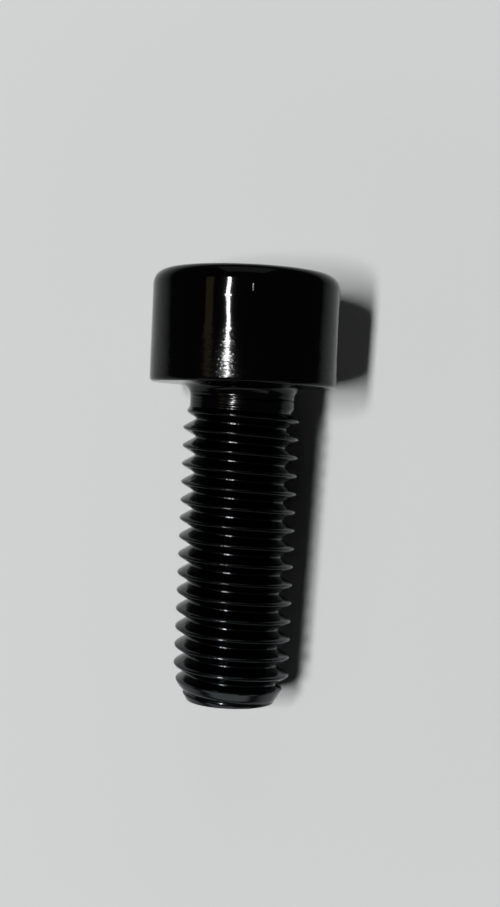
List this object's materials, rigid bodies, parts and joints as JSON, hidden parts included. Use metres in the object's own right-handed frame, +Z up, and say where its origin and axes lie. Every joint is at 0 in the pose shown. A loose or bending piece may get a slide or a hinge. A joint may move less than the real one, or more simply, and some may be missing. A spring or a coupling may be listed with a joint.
{
  "type": "connecting rod bolt",
  "caption": "Socket head cap screw for a connecting rod: smooth round head, short plain neck and a coarse rolled thread that runs out into a chamfered tip.",
  "frame": {"origin": "centre of the bearing face under the head, on the bolt's axis", "axes": "the bolt lies on its side on a level surface: +Z is up, +Y runs from the tip towards the head, and the axis rises 6.8 degrees from the tip to the head, because the head is wider than the thread"},
  "size_m": [0.013, 0.0303, 0.0136],
  "materials": {
    "black_oxide_steel": "black oxide on alloy steel, oiled and glossy, with light handling marks"
  },
  "bodies": {
    "root": {"bolt": "black_oxide_steel"}
  },
  "joints": []
}
